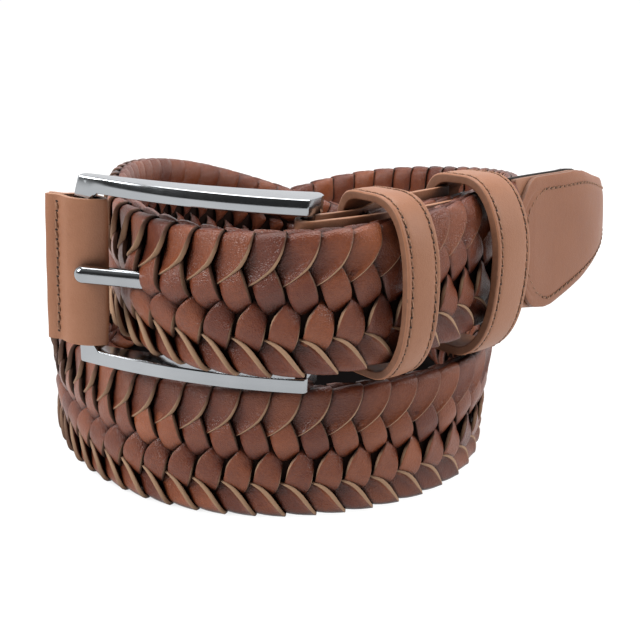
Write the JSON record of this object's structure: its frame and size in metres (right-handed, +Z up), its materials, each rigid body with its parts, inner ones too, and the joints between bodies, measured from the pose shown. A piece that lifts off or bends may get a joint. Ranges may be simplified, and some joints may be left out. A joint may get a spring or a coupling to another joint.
{
  "type": "elastic belt",
  "caption": "Braided elastic belt with leather ends, pin buckle and two keepers, fastened and set down in two turns on its lower edge.",
  "frame": {"origin": "bottom centre of the whole belt's box, on the floor under the coil", "axes": "+Z up, square to the floor that the strap's lower edge stands on; -Y towards the buckle side; +X towards the free tip"},
  "size_m": [0.1722, 0.1994, 0.0868],
  "materials": {
    "braid": "semi-matt waxed leather strands",
    "tan_leather": "smooth semi-matt leather",
    "buckle_metal": "polished dark nickel",
    "dark_lining": "matt dark lining"
  },
  "bodies": {
    "root": {"braided_strap": "braid", "chape": "tan_leather", "keeper_front": "tan_leather", "keeper_rear": "tan_leather", "buckle_frame": "buckle_metal", "prong": "buckle_metal", "bar_wrap": "tan_leather", "tip_base": "tan_leather", "tip_cap": "tan_leather", "tip_lining": "dark_lining"}
  },
  "joints": []
}
